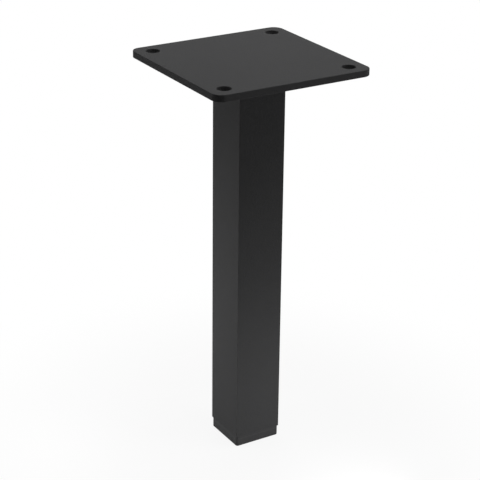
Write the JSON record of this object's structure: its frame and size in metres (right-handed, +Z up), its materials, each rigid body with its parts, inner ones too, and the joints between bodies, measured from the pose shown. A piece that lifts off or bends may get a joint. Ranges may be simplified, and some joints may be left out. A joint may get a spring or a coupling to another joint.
{
  "type": "square metal table leg",
  "caption": "Short square tube leg with a square screw-on top plate and a square plastic foot that screws out to level it.",
  "frame": {"origin": "centre of the foot's underside, on the floor, with the foot screwed right in", "axes": "+Z up along the tube to the plate that screws to the table top; X and Y along the plate's sides"},
  "size_m": [0.1, 0.1, 0.24],
  "materials": {
    "powder_coated_steel": "matt black powder coat with a fine texture",
    "black_plastic": "matt black moulded plastic",
    "zinc_plated_steel": "bright zinc plate"
  },
  "bodies": {
    "leg": {"top_plate": "powder_coated_steel", "leg_tube": "powder_coated_steel", "weld_bead": "powder_coated_steel", "tube_insert": "black_plastic"},
    "bush": {"threaded_bush": "zinc_plated_steel"},
    "foot": {"foot_stud": "zinc_plated_steel", "foot_pad": "black_plastic"}
  },
  "joints": [
    {"name": "foot_turn", "type": "hinge", "parent": "leg", "child": "bush", "pos_m": [0, 0, 0], "axis": [0, 0, -1], "range_deg": [0, 2880]},
    {"name": "foot_travel", "type": "slide", "parent": "bush", "child": "foot", "axis": [0, 0, -1], "range_m": [0, 0.01]}
  ],
  "couplings": [
    {"joint": "foot_travel", "follows": "foot_turn", "m_per_rad": 0.00019894}
  ]
}
